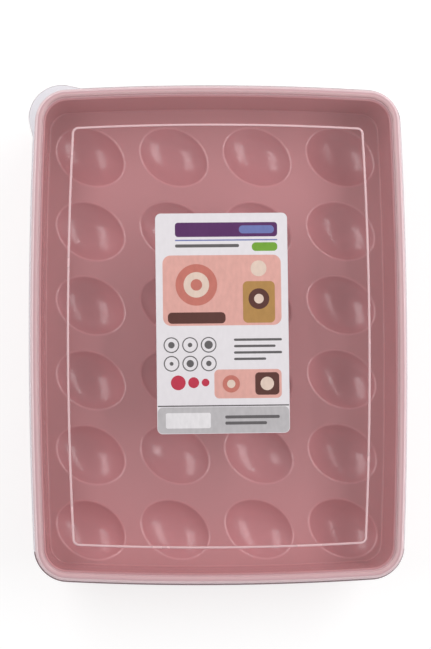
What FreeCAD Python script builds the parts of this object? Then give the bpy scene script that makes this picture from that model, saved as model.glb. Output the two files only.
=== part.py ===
import FreeCAD, Part
import math
import os

import Sketcher

# Egg storage container: a moulded tray with rows of egg-shaped cups, a clear press-on lid whose rim
# channel fits over the lip of the tray, and a paper label on the lid. Millimetres; X is the width,
# Y the length and Z the height, with the tray standing on the feet of its cups at Z = 0.

SIZES = [
    ("outer_width", "237"),
    ("outer_length", "313"),
    ("outer_height", "60"),
    ("side_bow_radius", "3000"),
    ("end_bow_radius", "1700"),
    ("corner_radius", "21.5"),
    ("wall_thickness", "1.6"),
    ("lid_thickness", "1.2"),
    ("fit_clearance", "0.3"),
    ("seat_gap", "0.1"),
    ("flange_width", "1.3"),
    ("stop_inset", "1.2"),
    ("ledge_margin", "1.7"),
    ("draft_run", "1.4"),
    ("base_radius", "3"),
    ("floor_radius", "1.2"),
    ("floor_overlap", "0.4"),
    ("ledge_edge_radius", "1"),
    ("lip_edge_radius", "0.5"),
    ("neck_radius", "0.6"),
    ("cup_columns", "4"),
    ("cup_rows", "6"),
    ("column_pitch", "54"),
    ("row_pitch", "48"),
    ("array_shift", "3.3"),
    ("cup_tilt", "29"),
    ("cup_depth", "8.4"),
    ("cup_edge_radius", "2.2"),
    ("foot_trim", "0.4"),
    ("egg_radius", "22.5"),
    ("egg_blunt_reach", "29.3"),
    ("egg_point_reach", "31.3"),
    ("egg_blunt_radius", "18.3"),
    ("egg_point_radius", "16.3"),
    ("panel_recess", "3.6"),
    ("skirt_depth", "9"),
    ("shoulder_radius", "1.6"),
    ("channel_radius", "0.4"),
    ("panel_overlap", "1.2"),
    ("bead_width", "1.4"),
    ("bead_height", "1"),
    ("bead_round", "0.6"),
    ("bead_root", "0.4"),
    ("bead_side_inset", "24.4"),
    ("bead_end_inset", "24.6"),
    ("bead_shift_down", "1"),
    ("bead_side_bow_radius", "2400"),
    ("bead_end_bow_radius", "1720"),
    ("bead_corner_radius", "3.5"),
    ("tab_radius", "21"),
    ("label_width", "82.6"),
    ("label_length", "137.6"),
    ("label_thickness", "0.2"),
    ("label_corner_radius", "3.5"),
    ("label_shift_right", "2.1"),
    ("label_shift_up", "6.5"),
    ("label_turn", "0.45"),
]

DERIVED = [
    ("half_width", "=outer_width / 2"),
    ("half_length", "=outer_length / 2"),
    ("side_centre", "=side_bow_radius - half_width"),
    ("end_centre", "=end_bow_radius - half_length"),
    ("skirt_inner_inset", "=flange_width + lid_thickness"),
    ("lip_outer_inset", "=skirt_inner_inset + fit_clearance"),
    ("lip_inner_inset", "=lip_outer_inset + wall_thickness"),
    ("leg_outer_inset", "=lip_inner_inset + fit_clearance"),
    ("leg_inner_inset", "=leg_outer_inset + lid_thickness"),
    ("rim_inset", "=leg_inner_inset + ledge_margin"),
    ("floor_inset", "=rim_inset + draft_run"),
    ("join_inset", "=floor_inset + floor_radius + floor_overlap"),
    ("panel_inset", "=leg_inner_inset + panel_overlap"),
    ("floor_side_radius", "=side_bow_radius - floor_inset"),
    ("floor_end_radius", "=end_bow_radius - floor_inset"),
    ("floor_corner_radius", "=corner_radius - floor_inset"),
    ("panel_side_radius", "=side_bow_radius - leg_inner_inset"),
    ("panel_end_radius", "=end_bow_radius - leg_inner_inset"),
    ("panel_corner_radius", "=corner_radius - leg_inner_inset"),
    ("tab_cut_inset", "=flange_width + lid_thickness / 2"),
    ("tab_cut_side_radius", "=side_bow_radius - tab_cut_inset"),
    ("tab_cut_end_radius", "=end_bow_radius - tab_cut_inset"),
    ("tab_cut_corner_radius", "=corner_radius - tab_cut_inset"),
    ("tab_left", "=half_width - tab_radius"),
    ("tab_up", "=half_length - tab_radius"),
    ("cup_bottom", "=wall_thickness - foot_trim"),
    ("floor_top", "=cup_bottom + cup_depth"),
    ("floor_under", "=floor_top - wall_thickness"),
    ("egg_height", "=cup_bottom + egg_radius"),
    ("shell_radius", "=egg_radius + wall_thickness"),
    ("shell_blunt_reach", "=egg_blunt_reach + wall_thickness"),
    ("shell_point_reach", "=egg_point_reach + wall_thickness"),
    ("shell_blunt_radius", "=egg_blunt_radius + wall_thickness"),
    ("shell_point_radius", "=egg_point_radius + wall_thickness"),
    ("column_span", "=column_pitch * (cup_columns - 1)"),
    ("row_span", "=row_pitch * (cup_rows - 1)"),
    ("first_cup_left", "=column_span / 2"),
    ("first_cup_down", "=row_span / 2 + array_shift"),
    ("lid_base", "=outer_height - skirt_depth"),
    ("panel_top", "=skirt_depth - panel_recess"),
    ("panel_under", "=panel_top - lid_thickness"),
    ("channel_under", "=skirt_depth - lid_thickness"),
    ("ledge_top", "=lid_base + panel_under - seat_gap"),
    ("ledge_under", "=ledge_top - wall_thickness"),
    ("lip_top", "=lid_base + channel_under - fit_clearance"),
    ("stop_top", "=lid_base - fit_clearance"),
    ("stop_under", "=stop_top - wall_thickness"),
    ("stop_reach", "=half_width - stop_inset"),
    ("join_reach", "=half_width - join_inset"),
    ("base_outer_reach", "=half_width - floor_inset + wall_thickness"),
    ("rim_outer_reach", "=half_width - rim_inset + wall_thickness"),
    ("rim_inner_reach", "=half_width - rim_inset"),
    ("floor_reach", "=half_width - floor_inset"),
    ("lip_outer_reach", "=half_width - lip_outer_inset"),
    ("lip_inner_reach", "=half_width - lip_inner_inset"),
    ("skirt_outer_reach", "=half_width - flange_width"),
    ("skirt_inner_reach", "=half_width - skirt_inner_inset"),
    ("leg_outer_reach", "=half_width - leg_outer_inset"),
    ("leg_inner_reach", "=half_width - leg_inner_inset"),
    ("panel_reach", "=half_width - panel_inset"),
    ("flange_edge_radius", "=lid_thickness / 4"),
    ("bead_half_width", "=half_width - bead_side_inset"),
    ("bead_half_length", "=half_length - bead_end_inset"),
    ("bead_side_centre", "=bead_side_bow_radius - bead_half_width"),
    ("bead_end_centre", "=bead_end_bow_radius - bead_half_length"),
    ("bead_outer_reach", "=bead_half_width + bead_width / 2"),
    ("bead_inner_reach", "=bead_half_width - bead_width / 2"),
    ("bead_foot", "=panel_top - bead_root"),
    ("bead_top", "=panel_top + bead_height"),
    ("label_height", "=lid_base + panel_top"),
    ("label_half_width", "=label_width / 2"),
    ("label_half_length", "=label_length / 2"),
]

doc = FreeCAD.newDocument("egg_container")
sheet = doc.addObject("Spreadsheet::Sheet", "sheet")
for row, (alias, text) in enumerate(SIZES + DERIVED, start=1):
    sheet.set("A%d" % row, alias)
    sheet.set("B%d" % row, text)
    sheet.setAlias("B%d" % row, alias)
doc.recompute()

START, END, CENTRE = range(1, 4)
X_AXIS, Y_AXIS = range(-1, -3, -1)
ORIGIN = X_AXIS
FULL_TURN = 2 * math.pi


def size(alias):
    return float(sheet.get(alias))


def origin_item(body, role):
    for item in body.Origin.OriginFeatures:
        if item.Role == role:
            return item


def new_sketch(body, name, plane, height=None):
    sketch = body.newObject("Sketcher::SketchObject", name)
    sketch.AttachmentSupport = [(origin_item(body, plane), "")]
    sketch.MapMode = "FlatFace"
    if height:
        sketch.setExpression("AttachmentOffset.Base.z", "sheet." + height)
    return sketch


def drive(sketch, kind, places, alias):
    """Add a dimension that follows the named size of the sheet."""
    number = sketch.addConstraint(Sketcher.Constraint(kind, *places, size(alias)))
    name = "%s_%d" % (alias, number)
    sketch.renameConstraint(number, name)
    sketch.setExpression("Constraints." + name, "sheet." + alias)


def arc(middle, radius, first, last):
    circle = Part.Circle(FreeCAD.Vector(*middle, 0), FreeCAD.Vector(0, 0, 1), radius)
    return Part.ArcOfCircle(circle, first, last)


def bowed_outline(sketch, centres, radii, split=False):
    """A rounded rectangle whose sides and ends bow outwards, as tangent arcs about the origin."""
    side_centre, end_centre = (size(alias) for alias in centres)
    side, end, corner = (size(alias) for alias in radii)
    # The corner arc touches the side and end arcs from inside, so its middle is known from both.
    side_gap = side - corner
    end_gap = end - corner
    span = math.hypot(side_centre, end_centre)
    along = (side_gap ** 2 - end_gap ** 2 + span ** 2) / (2 * span)
    across = math.sqrt(side_gap ** 2 - along ** 2)
    unit = (side_centre / span, -end_centre / span)
    corner_x = -side_centre + along * unit[0] - across * unit[1]
    corner_y = along * unit[1] + across * unit[0]
    lean = math.atan2(corner_y, corner_x + side_centre)
    rise = math.atan2(corner_y + end_centre, corner_x)
    pieces = []
    if split:
        pieces.append(arc((-side_centre, 0), side, 0, lean))
    else:
        pieces.append(arc((-side_centre, 0), side, -lean, lean))
    pieces.append(arc((corner_x, corner_y), corner, lean, rise))
    pieces.append(arc((0, -end_centre), end, rise, math.pi - rise))
    pieces.append(arc((-corner_x, corner_y), corner, math.pi - rise, math.pi - lean))
    pieces.append(arc((side_centre, 0), side, math.pi - lean, math.pi + lean))
    pieces.append(arc((-corner_x, -corner_y), corner, math.pi + lean, math.pi + rise))
    pieces.append(arc((0, end_centre), end, math.pi + rise, FULL_TURN - rise))
    pieces.append(arc((corner_x, -corner_y), corner, FULL_TURN - rise, FULL_TURN - lean))
    if split:
        pieces.append(arc((-side_centre, 0), side, FULL_TURN - lean, FULL_TURN))
    numbers = [sketch.addGeometry(piece, False) for piece in pieces]
    right, upper_right, top, upper_left, left, lower_left, bottom, lower_right = numbers[:8]
    for one, other in zip(numbers, numbers[1:]):
        sketch.addConstraint(Sketcher.Constraint("Tangent", one, END, other, START))
    if split:
        last = numbers[8]
        sketch.addConstraint(Sketcher.Constraint("Coincident", last, END, right, START))
        sketch.addConstraint(Sketcher.Constraint("Coincident", last, CENTRE, right, CENTRE))
        sketch.addConstraint(Sketcher.Constraint("PointOnObject", right, START, X_AXIS))
    else:
        sketch.addConstraint(Sketcher.Constraint("Tangent", lower_right, END, right, START))
    for number in (right, left):
        sketch.addConstraint(Sketcher.Constraint("PointOnObject", number, CENTRE, X_AXIS))
        drive(sketch, "Radius", (number,), radii[0])
    for number in (top, bottom):
        sketch.addConstraint(Sketcher.Constraint("PointOnObject", number, CENTRE, Y_AXIS))
        drive(sketch, "Radius", (number,), radii[1])
    for number in (upper_right, upper_left, lower_left, lower_right):
        drive(sketch, "Radius", (number,), radii[2])
    drive(sketch, "DistanceX", (right, CENTRE, ORIGIN, START), centres[0])
    drive(sketch, "DistanceX", (ORIGIN, START, left, CENTRE), centres[0])
    drive(sketch, "DistanceY", (top, CENTRE, ORIGIN, START), centres[1])
    drive(sketch, "DistanceY", (ORIGIN, START, bottom, CENTRE), centres[1])


def section(sketch, corners):
    """A closed outline through named corners (reach, height, radius), rounded where a radius is named."""
    spots = [FreeCAD.Vector(size(x), size(y) if y else 0, 0) for x, y, radius in corners]
    count = len(corners)
    cuts = []
    for index, (x, y, radius) in enumerate(corners):
        here = spots[index]
        back = (spots[index - 1] - here).normalize()
        ahead = (spots[(index + 1) % count] - here).normalize()
        if radius:
            half_angle = back.getAngle(ahead) / 2
            run = size(radius) / math.tan(half_angle)
            middle = here + (back + ahead).normalize() * (size(radius) / math.sin(half_angle))
            cuts.append((here + back * run, here + ahead * run, middle))
        else:
            cuts.append((here, here, None))
    lines = []
    for index in range(count):
        line = Part.LineSegment(cuts[index][1], cuts[(index + 1) % count][0])
        lines.append(sketch.addGeometry(line, False))
    for index, (x, y, radius) in enumerate(corners):
        before = lines[index - 1]
        after = lines[index]
        if radius:
            first, last, middle = cuts[index]
            bulge = middle + (spots[index] - middle).normalize() * size(radius)
            number = sketch.addGeometry(Part.Arc(first, bulge, last), False)
            from_start = sketch.getPoint(number, START).distanceToPoint(first)
            from_end = sketch.getPoint(number, END).distanceToPoint(first)
            near, far = (START, END) if from_start < from_end else (END, START)
            sketch.addConstraint(Sketcher.Constraint("Tangent", before, END, number, near))
            sketch.addConstraint(Sketcher.Constraint("Tangent", number, far, after, START))
            drive(sketch, "Radius", (number,), radius)
            point = sketch.addGeometry(Part.Point(spots[index]), True)
            sketch.addConstraint(Sketcher.Constraint("PointOnObject", point, START, before))
            sketch.addConstraint(Sketcher.Constraint("PointOnObject", point, START, after))
        else:
            point = after
            sketch.addConstraint(Sketcher.Constraint("Coincident", before, END, after, START))
        drive(sketch, "DistanceX", (ORIGIN, START, point, START), x)
        if y:
            drive(sketch, "DistanceY", (ORIGIN, START, point, START), y)
        else:
            sketch.addConstraint(Sketcher.Constraint("PointOnObject", point, START, X_AXIS))


def egg_profile(sketch, blunt_reach, point_reach, blunt_radius, point_radius, radius):
    """Half an egg above its long axis: a blunt end, a flank and a pointed end that run into each other."""
    blunt_x = size(blunt_radius) - size(blunt_reach)
    point_x = size(point_reach) - size(point_radius)
    # The flank's middle lies below the axis, as far from each end's middle as the radii differ.
    blunt_less = size(radius) - size(blunt_radius)
    point_less = size(radius) - size(point_radius)
    ratio = point_less / blunt_less
    square = ratio - 1
    linear = point_x - ratio * blunt_x
    constant = ratio * (blunt_x ** 2 - blunt_less ** 2) + point_less ** 2 - point_x ** 2
    flank_x = (-linear + math.sqrt(linear ** 2 - square * constant)) / square
    drop = ((flank_x - blunt_x) ** 2 - blunt_less ** 2) / (2 * blunt_less)
    flank_radius = drop + size(radius)
    blunt_angle = math.atan2(drop, blunt_x - flank_x)
    point_angle = math.atan2(drop, point_x - flank_x)
    point_end = sketch.addGeometry(arc((point_x, 0), size(point_radius), 0, point_angle), False)
    flank = sketch.addGeometry(arc((flank_x, -drop), flank_radius, point_angle, blunt_angle), False)
    blunt_end = sketch.addGeometry(arc((blunt_x, 0), size(blunt_radius), blunt_angle, math.pi), False)
    tip = FreeCAD.Vector(size(point_reach), 0, 0)
    heel = FreeCAD.Vector(-size(blunt_reach), 0, 0)
    axis = sketch.addGeometry(Part.LineSegment(heel, tip), False)
    crown_from = FreeCAD.Vector(flank_x, size(radius), 0)
    crown_to = FreeCAD.Vector(point_x, size(radius), 0)
    crown = sketch.addGeometry(Part.LineSegment(crown_from, crown_to), True)
    sketch.addConstraint(Sketcher.Constraint("Tangent", point_end, END, flank, START))
    sketch.addConstraint(Sketcher.Constraint("Tangent", flank, END, blunt_end, START))
    sketch.addConstraint(Sketcher.Constraint("Coincident", blunt_end, END, axis, START))
    sketch.addConstraint(Sketcher.Constraint("Coincident", axis, END, point_end, START))
    for number in (point_end, blunt_end):
        sketch.addConstraint(Sketcher.Constraint("PointOnObject", number, CENTRE, X_AXIS))
    for place in (START, END):
        sketch.addConstraint(Sketcher.Constraint("PointOnObject", axis, place, X_AXIS))
    drive(sketch, "Radius", (point_end,), point_radius)
    drive(sketch, "Radius", (blunt_end,), blunt_radius)
    drive(sketch, "DistanceX", (ORIGIN, START, axis, END), point_reach)
    drive(sketch, "DistanceX", (axis, START, ORIGIN, START), blunt_reach)
    sketch.addConstraint(Sketcher.Constraint("Horizontal", crown))
    sketch.addConstraint(Sketcher.Constraint("Tangent", flank, crown))
    sketch.addConstraint(Sketcher.Constraint("Vertical", flank, CENTRE, crown, START))
    sketch.addConstraint(Sketcher.Constraint("Vertical", point_end, CENTRE, crown, END))
    drive(sketch, "DistanceY", (ORIGIN, START, crown, START), radius)


def rectangle(sketch, half_x, half_y, radius=None):
    """A rectangle about the origin, with rounded corners where a radius is named."""
    wide = size(half_x)
    tall = size(half_y)
    trim = size(radius) if radius else 0
    half = math.pi / 2
    runs = [
        ((trim - wide, -tall), (wide - trim, -tall)),
        ((wide, trim - tall), (wide, tall - trim)),
        ((wide - trim, tall), (trim - wide, tall)),
        ((-wide, tall - trim), (-wide, trim - tall)),
    ]
    lines = []
    for first, last in runs:
        line = Part.LineSegment(FreeCAD.Vector(*first, 0), FreeCAD.Vector(*last, 0))
        lines.append(sketch.addGeometry(line, False))
    low, right, high, left = lines
    sketch.addConstraint([Sketcher.Constraint("Horizontal", number) for number in (low, high)])
    sketch.addConstraint([Sketcher.Constraint("Vertical", number) for number in (right, left)])
    middles = [(wide - trim, trim - tall), (wide - trim, tall - trim)]
    middles += [(trim - wide, tall - trim), (trim - wide, trim - tall)]
    for index, middle in enumerate(middles):
        before = lines[index]
        after = lines[(index + 1) % len(lines)]
        if radius:
            turn = arc(middle, trim, (index - 1) * half, index * half)
            number = sketch.addGeometry(turn, False)
            sketch.addConstraint(Sketcher.Constraint("Tangent", before, END, number, START))
            sketch.addConstraint(Sketcher.Constraint("Tangent", number, END, after, START))
            drive(sketch, "Radius", (number,), radius)
        else:
            sketch.addConstraint(Sketcher.Constraint("Coincident", before, END, after, START))
    drive(sketch, "DistanceX", (ORIGIN, START, right, START), half_x)
    drive(sketch, "DistanceX", (left, START, ORIGIN, START), half_x)
    drive(sketch, "DistanceY", (ORIGIN, START, high, START), half_y)
    drive(sketch, "DistanceY", (low, START, ORIGIN, START), half_y)


def pad(body, name, sketch, length):
    feature = body.newObject("PartDesign::Pad", name)
    feature.Profile = sketch
    feature.setExpression("Length", "sheet." + length)
    doc.recompute()


def pocket(body, name, sketch, length, upwards):
    feature = body.newObject("PartDesign::Pocket", name)
    feature.Profile = sketch
    feature.Reversed = upwards
    feature.setExpression("Length", "sheet." + length)
    doc.recompute()


def sweep(body, name, sketch, path):
    feature = body.newObject("PartDesign::AdditivePipe", name)
    feature.Profile = sketch
    feature.Spine = path
    doc.recompute()


def spin(body, kind, name, sketch):
    feature = body.newObject(kind, name)
    feature.Profile = sketch
    feature.ReferenceAxis = (sketch, ["H_Axis"])
    doc.recompute()
    return feature


def cup_sketch(body, name):
    """A sketch upright through the long axis of the first egg, with the axis as its own X."""
    sketch = new_sketch(body, name, "XZ_Plane")
    turn = FreeCAD.Rotation(FreeCAD.Vector(0, -1, 0), size("cup_tilt"))
    spot = FreeCAD.Vector(-size("first_cup_left"), size("egg_height"), size("first_cup_down"))
    sketch.AttachmentOffset = FreeCAD.Placement(spot, turn)
    sketch.setExpression("AttachmentOffset.Base.x", "-sheet.first_cup_left")
    sketch.setExpression("AttachmentOffset.Base.y", "sheet.egg_height")
    sketch.setExpression("AttachmentOffset.Base.z", "sheet.first_cup_down")
    sketch.setExpression("AttachmentOffset.Rotation.Angle", "sheet.cup_tilt")
    return sketch


def cup_array(body, name, feature):
    """Repeat a feature of the first cup over all columns and rows."""
    array = body.newObject("PartDesign::LinearPattern", name)
    array.Originals = [feature]
    array.Direction = (origin_item(body, "X_Axis"), [""])
    array.Direction2 = (origin_item(body, "Y_Axis"), [""])
    array.Mode = "Extent"
    array.Mode2 = "Extent"
    array.setExpression("Length", "sheet.column_span")
    array.setExpression("Length2", "sheet.row_span")
    array.setExpression("Occurrences", "sheet.cup_columns")
    array.setExpression("Occurrences2", "sheet.cup_rows")
    body.Tip = array
    doc.recompute()
    return array


BODY_CENTRES = ("side_centre", "end_centre")

# Tray: the floor first, then the cups, then the wall with its rim round them. The rim turns over into
# a lip that fills the lid's channel, with a stop flange below it on which the lid's skirt comes down.
tray = doc.addObject("PartDesign::Body", "tray")
tray.Label = "tray"

floor_outline = new_sketch(tray, "floor_outline", "XY_Plane", "floor_under")
bowed_outline(
    floor_outline,
    BODY_CENTRES,
    ("floor_side_radius", "floor_end_radius", "floor_corner_radius"),
)
doc.recompute()
pad(tray, "floor_plate", floor_outline, "wall_thickness")

shell_profile = cup_sketch(tray, "shell_profile")
egg_profile(
    shell_profile,
    "shell_blunt_reach",
    "shell_point_reach",
    "shell_blunt_radius",
    "shell_point_radius",
    "shell_radius",
)
doc.recompute()
cup_shell = spin(tray, "PartDesign::Revolution", "cup_shell", shell_profile)
cup_array(tray, "cup_shells", cup_shell)

above_floor = new_sketch(tray, "above_floor", "XY_Plane", "floor_top")
rectangle(above_floor, "half_width", "half_length")
doc.recompute()
pocket(tray, "open_top", above_floor, "outer_height", True)

below_feet = new_sketch(tray, "below_feet", "XY_Plane")
rectangle(below_feet, "half_width", "half_length")
doc.recompute()
pocket(tray, "flat_feet", below_feet, "outer_height", False)

hollow_profile = cup_sketch(tray, "hollow_profile")
egg_profile(
    hollow_profile,
    "egg_blunt_reach",
    "egg_point_reach",
    "egg_blunt_radius",
    "egg_point_radius",
    "egg_radius",
)
doc.recompute()
cup_hollow = spin(tray, "PartDesign::Groove", "cup_hollow", hollow_profile)
cup_hollows = cup_array(tray, "cup_hollows", cup_hollow)


def cup_edges(shape):
    """The names of the edges round the cups: every wire of the floor's top face but the outer one."""
    rims = []
    for face in shape.Faces:
        is_plane = isinstance(face.Surface, Part.Plane)
        if is_plane and math.isclose(face.Surface.Position.z, size("floor_top")):
            rims += [wire for wire in face.Wires if not wire.isSame(face.OuterWire)]
    found = [edge for wire in rims for edge in wire.Edges]
    return [
        "Edge%d" % number
        for number, edge in enumerate(shape.Edges, start=1)
        if any(edge.isSame(other) for other in found)
    ]


cup_rims = tray.newObject("PartDesign::Fillet", "cup_rims")
cup_rims.Base = (cup_hollows, cup_edges(cup_hollows.Shape))
cup_rims.setExpression("Radius", "sheet.cup_edge_radius")
doc.recompute()

rim_path = new_sketch(tray, "rim_path", "XY_Plane")
bowed_outline(
    rim_path,
    BODY_CENTRES,
    ("side_bow_radius", "end_bow_radius", "corner_radius"),
    True,
)
wall_section = new_sketch(tray, "wall_section", "XZ_Plane")
section(
    wall_section,
    [
        ("join_reach", "floor_under", None),
        ("base_outer_reach", "floor_under", "base_radius"),
        ("rim_outer_reach", "ledge_under", "neck_radius"),
        ("lip_inner_reach", "ledge_under", "neck_radius"),
        ("lip_inner_reach", "stop_under", "lip_edge_radius"),
        ("stop_reach", "stop_under", "lip_edge_radius"),
        ("stop_reach", "stop_top", "lip_edge_radius"),
        ("lip_outer_reach", "stop_top", "lip_edge_radius"),
        ("lip_outer_reach", "lip_top", "lip_edge_radius"),
        ("lip_inner_reach", "lip_top", "lip_edge_radius"),
        ("lip_inner_reach", "ledge_top", None),
        ("rim_inner_reach", "ledge_top", "ledge_edge_radius"),
        ("floor_reach", "floor_top", "floor_radius"),
        ("join_reach", "floor_top", None),
    ],
)
doc.recompute()
sweep(tray, "wall_and_rim", wall_section, rim_path)

# Lid, drawn up from the bottom edge of its skirt: the pull tab, the rim channel, the panel, the bead.
lid = doc.addObject("PartDesign::Body", "lid")
lid.Label = "lid"
lid.setExpression("Placement.Base.z", "sheet.lid_base")

tab_outline = new_sketch(lid, "tab_outline", "XY_Plane")
disc = tab_outline.addGeometry(
    Part.Circle(
        FreeCAD.Vector(-size("tab_left"), size("tab_up"), 0),
        FreeCAD.Vector(0, 0, 1),
        size("tab_radius"),
    ),
    False,
)
drive(tab_outline, "Radius", (disc,), "tab_radius")
drive(tab_outline, "DistanceX", (disc, CENTRE, ORIGIN, START), "tab_left")
drive(tab_outline, "DistanceY", (ORIGIN, START, disc, CENTRE), "tab_up")
doc.recompute()
pad(lid, "tab_disc", tab_outline, "lid_thickness")

tab_inside = new_sketch(lid, "tab_inside", "XY_Plane")
bowed_outline(
    tab_inside,
    BODY_CENTRES,
    ("tab_cut_side_radius", "tab_cut_end_radius", "tab_cut_corner_radius"),
)
doc.recompute()
pocket(lid, "pull_tab", tab_inside, "skirt_depth", True)

skirt_path = new_sketch(lid, "skirt_path", "XY_Plane")
bowed_outline(
    skirt_path,
    BODY_CENTRES,
    ("side_bow_radius", "end_bow_radius", "corner_radius"),
    True,
)
channel_section = new_sketch(lid, "channel_section", "XZ_Plane")
section(
    channel_section,
    [
        ("skirt_inner_reach", None, None),
        ("half_width", None, "flange_edge_radius"),
        ("half_width", "lid_thickness", "flange_edge_radius"),
        ("skirt_outer_reach", "lid_thickness", "channel_radius"),
        ("skirt_outer_reach", "skirt_depth", "shoulder_radius"),
        ("leg_inner_reach", "skirt_depth", "shoulder_radius"),
        ("leg_inner_reach", "panel_top", "channel_radius"),
        ("panel_reach", "panel_top", None),
        ("panel_reach", "panel_under", None),
        ("leg_outer_reach", "panel_under", "channel_radius"),
        ("leg_outer_reach", "channel_under", "channel_radius"),
        ("skirt_inner_reach", "channel_under", "channel_radius"),
    ],
)
doc.recompute()
sweep(lid, "rim_channel", channel_section, skirt_path)

panel_outline = new_sketch(lid, "panel_outline", "XY_Plane", "panel_under")
bowed_outline(
    panel_outline,
    BODY_CENTRES,
    ("panel_side_radius", "panel_end_radius", "panel_corner_radius"),
)
doc.recompute()
pad(lid, "panel", panel_outline, "lid_thickness")

bead_path = new_sketch(lid, "bead_path", "XY_Plane")
bead_path.setExpression("AttachmentOffset.Base.y", "-sheet.bead_shift_down")
bowed_outline(
    bead_path,
    ("bead_side_centre", "bead_end_centre"),
    ("bead_side_bow_radius", "bead_end_bow_radius", "bead_corner_radius"),
    True,
)
bead_section = new_sketch(lid, "bead_section", "XZ_Plane", "bead_shift_down")
section(
    bead_section,
    [
        ("bead_inner_reach", "bead_foot", None),
        ("bead_outer_reach", "bead_foot", None),
        ("bead_outer_reach", "bead_top", "bead_round"),
        ("bead_inner_reach", "bead_top", "bead_round"),
    ],
)
doc.recompute()
sweep(lid, "stacking_bead", bead_section, bead_path)

# Label: a rounded sheet on the panel, stuck on very slightly askew.
label = doc.addObject("PartDesign::Body", "label")
label.Label = "label"
label.Placement = FreeCAD.Placement(
    FreeCAD.Vector(0, 0, 0),
    FreeCAD.Rotation(FreeCAD.Vector(0, 0, 1), size("label_turn")),
)
label.setExpression("Placement.Base.x", "sheet.label_shift_right")
label.setExpression("Placement.Base.y", "sheet.label_shift_up")
label.setExpression("Placement.Base.z", "sheet.label_height")
label.setExpression("Placement.Rotation.Angle", "sheet.label_turn")
label_outline = new_sketch(label, "label_outline", "XY_Plane")
rectangle(label_outline, "label_half_width", "label_half_length", "label_corner_radius")
doc.recompute()
pad(label, "label_sheet", label_outline, "label_thickness")

doc.recompute()
for item in doc.Objects:
    if "Invalid" in item.State or "Error" in item.State:
        raise RuntimeError("%s did not build: %s" % (item.Name, item.State))

os.makedirs("parts", exist_ok=True)
for body in (tray, lid, label):
    shape = body.Shape
    if shape.isNull() or not shape.isValid() or len(shape.Solids) != 1:
        raise RuntimeError("%s is not one sound solid" % body.Label)
    shape.exportStep("parts/%s.step" % body.Label)
    print("%s %.1f mm3" % (body.Label, shape.Volume))
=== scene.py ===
import math

import bmesh
import bpy
from mathutils import Euler, Matrix, Vector


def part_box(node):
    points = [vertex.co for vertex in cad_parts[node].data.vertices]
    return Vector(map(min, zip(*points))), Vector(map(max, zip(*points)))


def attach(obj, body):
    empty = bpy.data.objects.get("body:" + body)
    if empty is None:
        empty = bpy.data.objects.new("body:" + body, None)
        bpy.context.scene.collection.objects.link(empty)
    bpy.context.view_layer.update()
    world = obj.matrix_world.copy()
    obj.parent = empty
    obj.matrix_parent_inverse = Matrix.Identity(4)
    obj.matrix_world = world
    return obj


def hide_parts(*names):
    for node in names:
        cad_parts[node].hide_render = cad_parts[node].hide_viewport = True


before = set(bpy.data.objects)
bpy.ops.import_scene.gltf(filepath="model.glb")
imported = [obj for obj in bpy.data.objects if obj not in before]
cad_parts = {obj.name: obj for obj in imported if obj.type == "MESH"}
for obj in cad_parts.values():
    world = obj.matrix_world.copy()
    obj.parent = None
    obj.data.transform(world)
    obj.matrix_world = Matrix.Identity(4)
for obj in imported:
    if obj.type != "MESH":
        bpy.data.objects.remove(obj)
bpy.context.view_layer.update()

MM = 0.001
UP = Vector((0, 0, 1))

# Camera, as fitted to the outline of the rim, the bead, the cups and the label.
CAMERA_PLACE = Vector((-0.065, -0.064, 1.400))
CAMERA_TURN = Euler((math.radians(2.975), math.radians(-2.660), math.radians(-0.28)))
CAMERA_LENS = 119.8
SENSOR_WIDTH = 36.0

# Studio: a long soft box along each side, the left one higher and nearer, in a pale room.
AIM_HEIGHT = 0.03
LEFT_BOX = {"place": (-0.55, 0.50, 0.88), "width": 0.34, "length": 1.50, "power": 5.2}
RIGHT_BOX = {"place": (0.66, 0.38, 0.78), "width": 0.36, "length": 1.50, "power": 6.6}
WALL_LEVEL = 0.75
CEILING_LEVEL = 0.25
FLOOR_SIDE = 40.0
FLOOR_ALBEDO = 0.45
FLOOR_GLOW = 0.68
HORIZON = 0.05
ZENITH = 0.75

# Lid, in metres: the rim line in plan, then the section of the rim as insets and heights above its foot.
SIDE_BOW = 3000 * MM
END_BOW = 1700 * MM
CORNER_RADIUS = 21.5 * MM
LID_WALL = 1.2 * MM
FLANGE_WIDTH = 1.3 * MM
SKIRT_INNER = FLANGE_WIDTH + LID_WALL
LEG_OUTER = 4.7 * MM
LEG_INNER = LEG_OUTER + LID_WALL
SKIRT_DEPTH = 9.0 * MM
PANEL_TOP = 5.4 * MM
SHOULDER_RADIUS = 1.6 * MM
CREASE_RADIUS = 0.4 * MM
EDGE_RADIUS = 0.3 * MM
TAB_RADIUS = 21.0 * MM
BEAD_SIDE_INSET = 24.4 * MM
BEAD_END_INSET = 24.6 * MM
BEAD_SHIFT = Vector((0, -1.0 * MM))
BEAD_SIDE_BOW = 2400 * MM
BEAD_END_BOW = 1720 * MM
BEAD_CORNER = 3.5 * MM
BEAD_WIDTH = 1.4 * MM
BEAD_HEIGHT = 1.0 * MM
BEAD_ROUND = 0.6 * MM
# Width of the painted dark edge on the flange's top, a painted shade.
PAINTED_SHADE_EDGE_WIDTH = 0.85 * MM
STEP_LEAD = 0.1 * MM
FLAT = 0.98
# Kinds of face; the edge kind carries a painted dark shade along the flange.
PANEL, RIM, PAINTED_SHADE_EDGE, FROST, TOP, STEP, BEAD = range(7)
SIDE_STEPS = 14
CORNER_STEPS = 18
END_STEPS = 10
ROUND_STEPS = 8

# Finishes, in linear colour, with the scales of their patterns and the range that a noise mostly keeps to.
NOISE_LOW = 0.3
NOISE_HIGH = 0.7
ROSE_PALE = (0.672, 0.294, 0.308, 1)
ROSE_DEEP = (0.642, 0.276, 0.290, 1)
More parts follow.
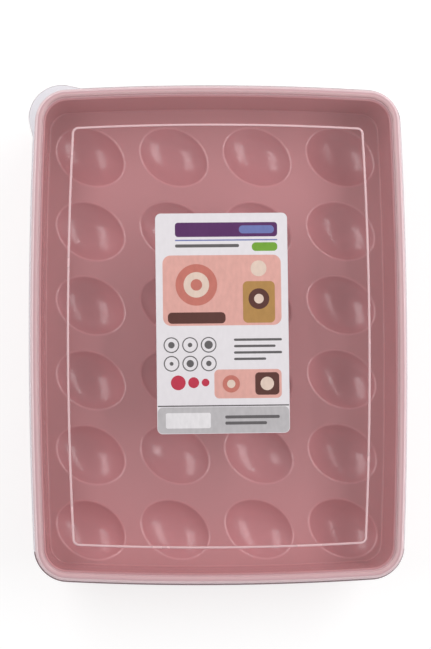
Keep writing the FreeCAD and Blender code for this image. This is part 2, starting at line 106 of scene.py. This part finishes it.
# Painted shade that darkens the cups, and a painted highlight for the pale line on their rounded edge.
CUP_PAINTED_SHADE = (0.99, 0.92, 0.94, 1)
CUP_EDGE_PAINTED_HIGHLIGHT = (1.10, 1.12, 1.12, 1)
FLOOR_SHADE = (1, 1, 1, 1)
CUP_FOOT = 1.2 * MM
CUP_TOP = 9.6 * MM
# Painted shade by share of the cup's depth, with a painted highlight line on its rounded edge.
CUP_PAINTED_LIGHT_STOPS = (
    (0.0, CUP_PAINTED_SHADE),
    (0.93, CUP_PAINTED_SHADE),
    (0.965, CUP_EDGE_PAINTED_HIGHLIGHT),
    (0.995, CUP_EDGE_PAINTED_HIGHLIGHT),
    (1.0, FLOOR_SHADE),
)
DRIFT_SCALE = 11.0
DRIFT_LOW = 0.35
DRIFT_HIGH = 0.65
WIPE_SCALE = 40.0
TRAY_ROUGHNESS = (0.15, 0.20)
GRAIN_SCALE = 2600.0
GRAIN_STRENGTH = 0.06
PLASTIC_IOR = 1.49
HANDLING_SCALE = 30.0
RELIEF = 0.02 * MM
LAMP_TINT = (0.930, 0.925, 0.930, 1)
# Lid finishes, in the order of the seven kinds of face: name, tint, share of frost, lowest and highest
# roughness.
LID_FINISHES = (
    ("clear_panel_plastic", (0.970, 0.965, 0.970, 1), 0.02, 0.015, 0.045),
    ("clear_rim_plastic", (0.840, 0.830, 0.875, 1), 0.12, 0.03, 0.08),
    # A near-black tint: painted shade along the flange's outer edge.
    ("painted_shade_edge_plastic", (0.100, 0.050, 0.058, 1), 0.10, 0.05, 0.10),
    # The frosted finishes are milky haze, with more frost on the curved shoulders and the bead; their pink
    # tint is a painted reflection of the pink tray seen through the clear rim.
    ("frosted_rim_painted_tray_reflection", (0.980, 0.770, 0.800, 1), 0.66, 0.10, 0.20),
    ("frosted_top_painted_tray_reflection", (0.930, 0.740, 0.765, 1), 0.35, 0.10, 0.20),
    ("frosted_step_painted_tray_reflection", (0.930, 0.700, 0.715, 1), 0.45, 0.10, 0.20),
    ("frosted_bead_painted_tray_reflection", (0.920, 0.660, 0.685, 1), 0.75, 0.20, 0.30),
)
PAPER_PALE = (0.83, 0.79, 0.82, 1)
PAPER_SHADE = (0.80, 0.76, 0.79, 1)
PAPER_ROUGHNESS = (0.38, 0.46)
FIBRE_SCALE = 420.0
FIBRE_STRETCH = (1, 0.45, 1)
FIBRE_STRENGTH = 0.04
CLOUD_SCALE = 60.0
INK_SHADE = 0.9
INKS = {
    "plum": (0.105, 0.026, 0.130, 1),
    "violet": (0.170, 0.200, 0.470, 1),
    "slate": (0.130, 0.120, 0.125, 1),
    "mist": (0.545, 0.520, 0.535, 1),
    "leaf": (0.190, 0.400, 0.040, 1),
    "ruby": (0.560, 0.035, 0.075, 1),
    "blush": (0.800, 0.420, 0.370, 1),
    "coral": (0.600, 0.190, 0.150, 1),
    "umber": (0.110, 0.036, 0.028, 1),
    "honey": (0.480, 0.260, 0.080, 1),
    "cream": (0.820, 0.640, 0.540, 1),
    "white": (0.860, 0.830, 0.850, 1),
}

# Label print, in millimetres from the middle of the label: middle, size and corner of bars, then middle
# and radius of discs, each after its ink and its layer.
LABEL_TURN = math.radians(0.45)
LABEL_MIDDLE = Vector((2.1 * MM, 6.5 * MM, 0))
INK_THICKNESS = 0.02 * MM
INK_STEP = 0.03 * MM
BARS = (
    ("plum", 1, 3.0, 58.5, 64.0, 9.0, 2.0),
    ("violet", 2, 22.0, 58.5, 22.0, 5.0, 2.4),
    ("slate", 1, -9.0, 48.4, 40.0, 2.0, 0.9),
    ("violet", 1, 3.0, 51.9, 64.0, 0.8, 0.3),
    ("blush", 1, 0.0, 20.5, 74.0, 44.0, 5.0),
    ("honey", 2, 23.0, 13.0, 20.0, 26.0, 3.0),
    ("umber", 2, -16.0, 3.3, 36.0, 7.0, 2.6),
    ("leaf", 1, 27.0, 47.6, 16.0, 5.4, 2.4),
    ("slate", 1, 22.0, -10.5, 30.0, 1.5, 0.7),
    ("slate", 1, 20.0, -14.5, 26.0, 1.5, 0.7),
    ("slate", 1, 22.0, -18.5, 30.0, 1.5, 0.7),
    ("slate", 1, 17.0, -22.5, 20.0, 1.5, 0.7),
    ("mist", 1, 0.0, -60.4, 82.0, 16.2, 3.2),
    ("slate", 1, 0.0, -51.5, 81.8, 0.8, 0.3),
    ("white", 2, -22.0, -60.6, 28.0, 9.6, 1.2),
    ("slate", 2, 18.0, -58.6, 34.0, 1.9, 0.8),
    ("slate", 2, 14.0, -62.4, 26.0, 1.9, 0.8),
    ("blush", 1, 15.5, -38.0, 42.0, 18.0, 3.0),
    ("umber", 2, 27.5, -38.0, 15.0, 14.0, 2.4),
)
DISCS = (
    ("coral", 3, -16.0, 24.0, 13.0),
    ("cream", 4, -16.0, 24.0, 8.0),
    ("coral", 5, -16.0, 24.0, 3.6),
    ("cream", 3, 23.0, 34.0, 5.0),
    ("umber", 3, 23.0, 15.0, 6.5),
    ("cream", 4, 23.0, 15.0, 3.0),
    ("ruby", 1, -28.0, -37.0, 4.6),
    ("ruby", 1, -18.4, -37.0, 3.4),
    ("ruby", 1, -11.0, -37.0, 2.4),
    ("coral", 3, 5.0, -38.0, 5.4),
    ("cream", 4, 5.0, -38.0, 2.6),
    ("cream", 3, 27.5, -38.0, 4.2),
)
# A block of rings with dots of different sizes in them.
RING_INK = "slate"
RING_LAYER = 1
RING_RADIUS = 4.9
RING_STROKE = 0.7
RING_COLUMNS = (-32.0, -20.4, -8.8)
RING_ROWS = ((-13.5, (2.0, 1.4, 2.6)), (-25.1, (1.2, 2.3, 1.7)))
DISC_SEGMENTS = 48
CORNER_SEGMENTS = 6


def new_finish(name):
    """A material with a Principled shader on its output, and its Object coordinates."""
    finish = bpy.data.materials.new(name)
    finish.use_nodes = True
    tree = finish.node_tree
    shader = tree.nodes["Principled BSDF"]
    coords = tree.nodes.new("ShaderNodeTexCoord")
    return finish, tree, shader, coords.outputs["Object"]


def noise(tree, coords, scale, detail=2.0, stretch=None):
    texture = tree.nodes.new("ShaderNodeTexNoise")
    texture.inputs["Scale"].default_value = scale
    texture.inputs["Detail"].default_value = detail
    if stretch:
        mapping = tree.nodes.new("ShaderNodeMapping")
        mapping.inputs["Scale"].default_value = stretch
        tree.links.new(coords, mapping.inputs["Vector"])
        coords = mapping.outputs["Vector"]
    tree.links.new(coords, texture.inputs["Vector"])
    return texture.outputs["Fac"]


def ramp(tree, factor, stops):
    node = tree.nodes.new("ShaderNodeValToRGB")
    elements = node.color_ramp.elements
    while len(elements) < len(stops):
        elements.new(0.5)
    for element, (place, colour) in zip(elements, stops):
        element.position = place
        element.color = colour
    tree.links.new(factor, node.inputs["Fac"])
    return node.outputs["Color"]


def spread(tree, factor, low, high, first=NOISE_LOW, last=NOISE_HIGH):
    node = tree.nodes.new("ShaderNodeMapRange")
    node.inputs["From Min"].default_value = first
    node.inputs["From Max"].default_value = last
    node.inputs["To Min"].default_value = low
    node.inputs["To Max"].default_value = high
    tree.links.new(factor, node.inputs["Value"])
    return node.outputs["Result"]


def bump(tree, height, shader, strength):
    node = tree.nodes.new("ShaderNodeBump")
    node.inputs["Strength"].default_value = strength
    node.inputs["Distance"].default_value = RELIEF
    tree.links.new(height, node.inputs["Height"])
    tree.links.new(node.outputs["Normal"], shader.inputs["Normal"])


def rose_tray_plastic():
    """Satin moulded plastic with painted shade in the cups and a painted highlight line on their rounded
    edges: a slow drift of the dyed melt and a fine mould grain.
    """
    finish, tree, shader, coords = new_finish("rose_tray_plastic")
    drift = noise(tree, coords, DRIFT_SCALE)
    colour = ramp(tree, drift, ((DRIFT_LOW, ROSE_DEEP), (DRIFT_HIGH, ROSE_PALE)))
    parts = tree.nodes.new("ShaderNodeSeparateXYZ")
    tree.links.new(coords, parts.inputs["Vector"])
    depth = spread(tree, parts.outputs["Z"], 0.0, 1.0, CUP_FOOT, CUP_TOP)
    # Painted shade in the cups and a painted highlight line on their edges, multiplied into the colour.
    shade = ramp(tree, depth, CUP_PAINTED_LIGHT_STOPS)
    mix = tree.nodes.new("ShaderNodeMix")
    mix.data_type = "RGBA"
    mix.blend_type = "MULTIPLY"
    mix.inputs["Factor"].default_value = 1.0
    tree.links.new(colour, mix.inputs["A"])
    tree.links.new(shade, mix.inputs["B"])
    tree.links.new(mix.outputs["Result"], shader.inputs["Base Color"])
    wiping = noise(tree, coords, WIPE_SCALE, detail=3.0)
    tree.links.new(spread(tree, wiping, *TRAY_ROUGHNESS), shader.inputs["Roughness"])
    bump(tree, noise(tree, coords, GRAIN_SCALE, detail=1.0), shader, GRAIN_STRENGTH)
    shader.inputs["IOR"].default_value = PLASTIC_IOR
    return finish


def clear_lid_plastic(name, tint, frost, smoothest, roughest):
    """Clear moulded plastic that lets the lamps through to the tray, with a share of milky frost."""
    finish, tree, shader, coords = new_finish(name)
    shader.inputs["Base Color"].default_value = tint
    shader.inputs["Transmission Weight"].default_value = 1.0 - frost
    shader.inputs["IOR"].default_value = PLASTIC_IOR
    handling = noise(tree, coords, HANDLING_SCALE, detail=3.0)
    tree.links.new(spread(tree, handling, smoothest, roughest), shader.inputs["Roughness"])
    opening = tree.nodes.new("ShaderNodeBsdfTransparent")
    opening.inputs["Color"].default_value = LAMP_TINT
    path = tree.nodes.new("ShaderNodeLightPath")
    surface = shader.outputs["BSDF"]
    for ray in ("Is Diffuse Ray", "Is Shadow Ray"):
        mix = tree.nodes.new("ShaderNodeMixShader")
        tree.links.new(path.outputs[ray], mix.inputs["Fac"])
        tree.links.new(surface, mix.inputs[1])
        tree.links.new(opening.outputs["BSDF"], mix.inputs[2])
        surface = mix.outputs["Shader"]
    tree.links.new(surface, tree.nodes["Material Output"].inputs["Surface"])
    return finish


def coated_paper(name, pale, shade):
    """Coated paper, plain or printed: a faint fibre cloud in its colour and a soft sheen."""
    finish, tree, shader, coords = new_finish(name)
    fibre = noise(tree, coords, FIBRE_SCALE, detail=4.0, stretch=FIBRE_STRETCH)
    colour = ramp(tree, fibre, ((NOISE_LOW, shade), (NOISE_HIGH, pale)))
    tree.links.new(colour, shader.inputs["Base Color"])
    cloud = noise(tree, coords, CLOUD_SCALE)
    tree.links.new(spread(tree, cloud, *PAPER_ROUGHNESS), shader.inputs["Roughness"])
    bump(tree, fibre, shader, FIBRE_STRENGTH)
    return finish


def new_piece(name, shape):
    """A mesh object in the scene, made from a shape that is then freed."""
    mesh = bpy.data.meshes.new(name)
    shape.to_mesh(mesh)
    shape.free()
    piece = bpy.data.objects.new(name, mesh)
    bpy.context.scene.collection.objects.link(piece)
    return piece


def bowed_line(half_width, half_length, side_bow, end_bow, corner):
    """Points and outward normals round a rectangle with bowed sides, bowed ends and round corners."""
    side_middle = half_width - side_bow
    end_middle = half_length - end_bow
    # The corner arc touches the side and end arcs from inside, so its middle is known from both.
    side_gap = side_bow - corner
    end_gap = end_bow - corner
    span = math.hypot(side_middle, end_middle)
    along = (side_gap ** 2 - end_gap ** 2 + span ** 2) / (2 * span)
    across = math.sqrt(side_gap ** 2 - along ** 2)
    towards = Vector((-side_middle, end_middle)) / span
    corner_middle = Vector((side_middle, 0)) + towards * along
    corner_middle += Vector((-towards.y, towards.x)) * across
    lean = math.atan2(corner_middle.y, corner_middle.x - side_middle)
    rise = math.atan2(corner_middle.y - end_middle, corner_middle.x)
    arcs = (
        (Vector((side_middle, 0)), side_bow, 0, lean, SIDE_STEPS),
        (corner_middle, corner, lean, rise, CORNER_STEPS),
        (Vector((0, end_middle)), end_bow, rise, math.pi / 2, END_STEPS),
    )
    quarter = []
    for middle, radius, first, last, steps in arcs:
        for step in range(steps):
            angle = first + (last - first) * step / steps
            normal = Vector((math.cos(angle), math.sin(angle)))
            quarter.append((middle + normal * radius, normal))
    line = list(quarter)
    top = (Vector((0, half_length)), Vector((0, 1)))
    flip = Vector((-1, 1))
    line += [top] + [(point * flip, normal * flip) for point, normal in quarter[:0:-1]]
    return line + [(-point, -normal) for point, normal in line]


def round_section(corners):
    """A section line through (inset, height, radius, finish) corners, each turned by an arc of its radius.

    Each spot comes with the finish of the strip that leads to it.
    """
    spots = [Vector(corner[:2]) for corner in corners]
    line = [(spots[0], corners[0][-1])]
    for before, here, after, corner in zip(spots, spots[1:], spots[2:], corners[1:]):
        radius, finish = corner[2:]
        if not radius:
            line.append((here, finish))
            continue
        back = (before - here).normalized()
        ahead = (after - here).normalized()
        half_angle = back.angle(ahead) / 2
        middle = here + (back + ahead).normalized() * radius / math.sin(half_angle)
        first = here + back * radius / math.tan(half_angle) - middle
        last = here + ahead * radius / math.tan(half_angle) - middle
        turn = first.angle_signed(last)
        for step in range(ROUND_STEPS + 1):
            angle = -turn * step / ROUND_STEPS
            line.append((middle + Matrix.Rotation(angle, 2) @ first, finish))
    return line + [(spots[-1], corners[-1][-1])]


def tab_reach(point, normal, tab_middle):
    """How far a point of the rim's edge moves out to lie on the round pull tab, or nothing."""
    offset = point - tab_middle
    drop = offset.dot(normal)
    square = drop ** 2 - offset.length_squared + TAB_RADIUS ** 2
    return max(0.0, math.sqrt(square) - drop) if square > 0 else 0.0


def sweep_rings(shape, rings, finishes):
    """A closed skin through rings of points: the first is drawn, the rest extruded, both ends filled."""
    place = shape.verts.layers.int.new("place")
    corners = [shape.verts.new(point) for point in rings[0]]
    for number, corner in enumerate(corners):
        corner[place] = number
    edges = [shape.edges.new(pair) for pair in zip(corners, corners[1:] + corners[:1])]
    bmesh.ops.edgeloop_fill(shape, edges=edges)
    for points, finish in zip(rings[1:], finishes[1:]):
        grown = bmesh.ops.extrude_edge_only(shape, edges=edges)["geom"]
        for part in grown:
            if isinstance(part, bmesh.types.BMVert):
                part.co = points[part[place]]
            elif isinstance(part, bmesh.types.BMFace):
                part.material_index = finish
        edges = [part for part in grown if isinstance(part, bmesh.types.BMEdge) and part.is_boundary]
    bmesh.ops.edgeloop_fill(shape, edges=edges)
    bmesh.ops.recalc_face_normals(shape, faces=shape.faces)


def rim_section():
    """The section of the rim: channel and flange, from under the panel round to the panel's top."""
    panel_under = PANEL_TOP - LID_WALL
    channel_under = SKIRT_DEPTH - LID_WALL
    return round_section([
        (LEG_INNER + LID_WALL, panel_under, 0, PANEL),
        (LEG_OUTER, panel_under, CREASE_RADIUS, RIM),
        (LEG_OUTER, channel_under, CREASE_RADIUS, RIM),
        (SKIRT_INNER, channel_under, CREASE_RADIUS, RIM),
        (SKIRT_INNER, 0, EDGE_RADIUS, RIM),
        (0, 0, EDGE_RADIUS, RIM),
        (0, LID_WALL, EDGE_RADIUS, PAINTED_SHADE_EDGE),
        (PAINTED_SHADE_EDGE_WIDTH, LID_WALL, 0, PAINTED_SHADE_EDGE),
        (FLANGE_WIDTH, LID_WALL, CREASE_RADIUS, FROST),
        (FLANGE_WIDTH, SKIRT_DEPTH, SHOULDER_RADIUS, FROST),
        (LEG_INNER - SHOULDER_RADIUS - STEP_LEAD, SKIRT_DEPTH, 0, TOP),
        (LEG_INNER, SKIRT_DEPTH, SHOULDER_RADIUS, STEP),
        (LEG_INNER, PANEL_TOP, CREASE_RADIUS, STEP),
        (LEG_INNER + LID_WALL, PANEL_TOP, 0, PANEL),
    ])


def bead_section():
    """The section of the stacking bead, across it from outside to inside."""
    return round_section([
        (-BEAD_WIDTH, PANEL_TOP, 0, PANEL),
        (-BEAD_WIDTH / 2, PANEL_TOP, EDGE_RADIUS, PANEL),
        (-BEAD_WIDTH / 2, PANEL_TOP + BEAD_HEIGHT, BEAD_ROUND, BEAD),
        (BEAD_WIDTH / 2, PANEL_TOP + BEAD_HEIGHT, BEAD_ROUND, BEAD),
        (BEAD_WIDTH / 2, PANEL_TOP, EDGE_RADIUS, PANEL),
        (BEAD_WIDTH, PANEL_TOP, 0, PANEL),
    ])


def clear_lid():
    """The lid as one closed shell: rim channel with its flange and pull tab, panel and stacking bead."""
    low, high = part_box("lid")
    half_width = (high.x - low.x) / 2
    half_length = (high.y - low.y) / 2
    foot = low.z
    rim = bowed_line(half_width, half_length, SIDE_BOW, END_BOW, CORNER_RADIUS)
    bead = bowed_line(
        half_width - BEAD_SIDE_INSET,
        half_length - BEAD_END_INSET,
        BEAD_SIDE_BOW,
        BEAD_END_BOW,
        BEAD_CORNER,
    )
    tab_middle = Vector((TAB_RADIUS - half_width, half_length - TAB_RADIUS))
    rings = []
    finishes = []
    for (inset, height), finish in rim_section():
        in_flange = inset < FLANGE_WIDTH / 2 and height < 2 * LID_WALL
        points = []
        for point, normal in rim:
            reach = tab_reach(point, normal, tab_middle) if in_flange else 0
            points.append((point + normal * (reach - inset)).to_3d() + UP * (foot + height))
        rings.append(points)
        finishes.append(finish)
    for (inset, height), finish in bead_section():
        rise = BEAD_SHIFT.to_3d() + UP * (foot + height)
        rings.append([(point - normal * inset).to_3d() + rise for point, normal in bead])
        finishes.append(finish)
    shape = bmesh.new()
    sweep_rings(shape, rings, finishes)
    for face in shape.faces:
        face.smooth = True
        spot = face.calc_center_median().xy
        on_tab = (spot - tab_middle).length < TAB_RADIUS and face.normal.z > FLAT
        on_side = abs(spot.y) < half_length - CORNER_RADIUS
        # The painted dark edge stays only on the ends and on the corners away from the tab.
        if face.material_index == PAINTED_SHADE_EDGE and (on_tab or on_side):
            face.material_index = RIM
    shell = new_piece("lid_shell", shape)
    flats = shell.modifiers.new("flat_faces_stay_flat", "WEIGHTED_NORMAL")
    flats.keep_sharp = True
    for finish in LID_FINISHES:
        shell.data.materials.append(clear_lid_plastic(*finish))
    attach(shell, "lid")
    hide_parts("lid")


def add_bar(shape, middle, size, corner):
    """A flat bar with rounded corners."""
    made = bmesh.ops.create_grid(shape, x_segments=1, y_segments=1, size=0.5)["verts"]
    place = Matrix.Translation(middle) @ Matrix.Diagonal((size[0], size[1], 1, 1))
    bmesh.ops.transform(shape, matrix=place, verts=made)
    bmesh.ops.bevel(
        shape,
        geom=made,
        offset=corner,
        offset_type="OFFSET",
        segments=CORNER_SEGMENTS,
        profile=0.5,
        affect="VERTICES",
        material=-1,
    )


def add_disc(shape, middle, radius, stroke=None):
    """A flat disc, or a ring when a stroke is given."""
    made = bmesh.ops.create_circle(
        shape,
        cap_ends=True,
        segments=DISC_SEGMENTS,
        radius=radius,
        matrix=Matrix.Translation(middle),
    )["verts"]
    if stroke:
        disc = made[0].link_faces[0]
        bmesh.ops.inset_region(
            shape,
            faces=[disc],
            thickness=stroke,
            use_boundary=True,
            use_even_offset=True,
        )
        bmesh.ops.delete(shape, geom=[disc], context="FACES")


def print_spot(across, up, layer):
    return Vector((across * MM, up * MM, layer * INK_STEP))


def add_rings(shape):
    """The block of rings, each with its dot."""
    for up, dots in RING_ROWS:
        for across, dot in zip(RING_COLUMNS, dots):
            middle = print_spot(across, up, RING_LAYER)
            add_disc(shape, middle, dot * MM)
            add_disc(shape, middle, RING_RADIUS * MM, RING_STROKE * MM)


def print_ink(ink):
    """All the print of one ink, as thin plates in layers on the label."""
    shape = bmesh.new()
    for colour, layer, across, up, width, length, corner in BARS:
        if colour == ink:
            add_bar(shape, print_spot(across, up, layer), (width * MM, length * MM), corner * MM)
    for colour, layer, across, up, radius in DISCS:
        if colour == ink:
            add_disc(shape, print_spot(across, up, layer), radius * MM)
    if ink == RING_INK:
        add_rings(shape)
    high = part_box("label")[1]
    top = LABEL_MIDDLE + UP * (high.z - INK_THICKNESS)
    place = Matrix.Translation(top) @ Matrix.Rotation(LABEL_TURN, 4, "Z")
    bmesh.ops.transform(shape, matrix=place, verts=shape.verts)
    bmesh.ops.recalc_face_normals(shape, faces=shape.faces)
    for face in shape.faces:
        if face.normal.z < 0:
            face.normal_flip()
    plates = new_piece(ink + "_print", shape)
    body = plates.modifiers.new("ink_thickness", "SOLIDIFY")
    body.thickness = INK_THICKNESS
    body.offset = -1.0
    colour = INKS[ink]
    shade = tuple(channel * INK_SHADE for channel in colour[:3]) + (1,)
    plates.data.materials.append(coated_paper(ink + "_ink", colour, shade))
    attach(plates, "lid")


def dress(node, finish):
    """Give a node of the frame a new finish."""
    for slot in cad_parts[node].material_slots:
        slot.material = finish


def soft_box(name, place, width, length, power):
    data = bpy.data.lights.new(name, "AREA")
    data.shape = "RECTANGLE"
    data.size = length
    data.size_y = width
    data.energy = power
    lamp = bpy.data.objects.new(name, data)
    lamp.location = place
    aim = Vector((0, place[1], AIM_HEIGHT))
    lamp.rotation_euler = (aim - Vector(place)).to_track_quat("-Z", "Y").to_euler()
    bpy.context.scene.collection.objects.link(lamp)


def seen_rays(tree):
    """1 for the rays that show the surroundings: from the camera, off gloss and through clear plastic."""
    path = tree.nodes.new("ShaderNodeLightPath")
    seen = path.outputs["Is Camera Ray"]
    for ray in ("Is Glossy Ray", "Is Transmission Ray"):
        either = tree.nodes.new("ShaderNodeMath")
        either.operation = "MAXIMUM"
        tree.links.new(seen, either.inputs[0])
        tree.links.new(path.outputs[ray], either.inputs[1])
        seen = either.outputs["Value"]
    return seen


def white_floor():
    finish = bpy.data.materials.new("white_floor")
    finish.use_nodes = True
    tree = finish.node_tree
    tree.nodes.clear()
    output = tree.nodes.new("ShaderNodeOutputMaterial")
    paint = tree.nodes.new("ShaderNodeBsdfDiffuse")
    paint.inputs["Color"].default_value = (FLOOR_ALBEDO, FLOOR_ALBEDO, FLOOR_ALBEDO, 1)
    glow = tree.nodes.new("ShaderNodeEmission")
    level = tree.nodes.new("ShaderNodeMath")
    level.operation = "MULTIPLY"
    level.inputs[1].default_value = FLOOR_GLOW
    tree.links.new(seen_rays(tree), level.inputs[0])
    tree.links.new(level.outputs["Value"], glow.inputs["Strength"])
    both = tree.nodes.new("ShaderNodeAddShader")
    tree.links.new(paint.outputs["BSDF"], both.inputs[0])
    tree.links.new(glow.outputs["Emission"], both.inputs[1])
    tree.links.new(both.outputs["Shader"], output.inputs["Surface"])
    return finish


def floor():
    shape = bmesh.new()
    bmesh.ops.create_grid(shape, x_segments=1, y_segments=1, size=FLOOR_SIDE / 2)
    ground = new_piece("floor", shape)
    ground.data.materials.append(white_floor())


def pale_room():
    """A room with pale walls and a dimmer ceiling."""
    world = bpy.data.worlds.new("pale_room")
    world.use_nodes = True
    tree = world.node_tree
    coords = tree.nodes.new("ShaderNodeTexCoord")
    parts = tree.nodes.new("ShaderNodeSeparateXYZ")
    tree.links.new(coords.outputs["Generated"], parts.inputs["Vector"])
    levels = [(place, (level, level, level, 1)) for place, level in (
        (HORIZON, WALL_LEVEL),
        (ZENITH, CEILING_LEVEL),
    )]
    shade = ramp(tree, parts.outputs["Z"], levels)
    tree.links.new(shade, tree.nodes["Background"].inputs["Color"])
    bpy.context.scene.world = world


def camera():
    data = bpy.data.cameras.new("camera")
    data.sensor_width = SENSOR_WIDTH
    data.lens = CAMERA_LENS
    eye = bpy.data.objects.new("camera", data)
    eye.location = CAMERA_PLACE
    eye.rotation_euler = CAMERA_TURN
    bpy.context.scene.collection.objects.link(eye)
    bpy.context.scene.camera = eye


dress("tray", rose_tray_plastic())
clear_lid()
dress("label", coated_paper("label_paper_finish", PAPER_PALE, PAPER_SHADE))
for ink in INKS:
    print_ink(ink)

floor()
pale_room()
soft_box("left_box", **LEFT_BOX)
soft_box("right_box", **RIGHT_BOX)
camera()
bpy.context.scene.view_settings.view_transform = "Standard"
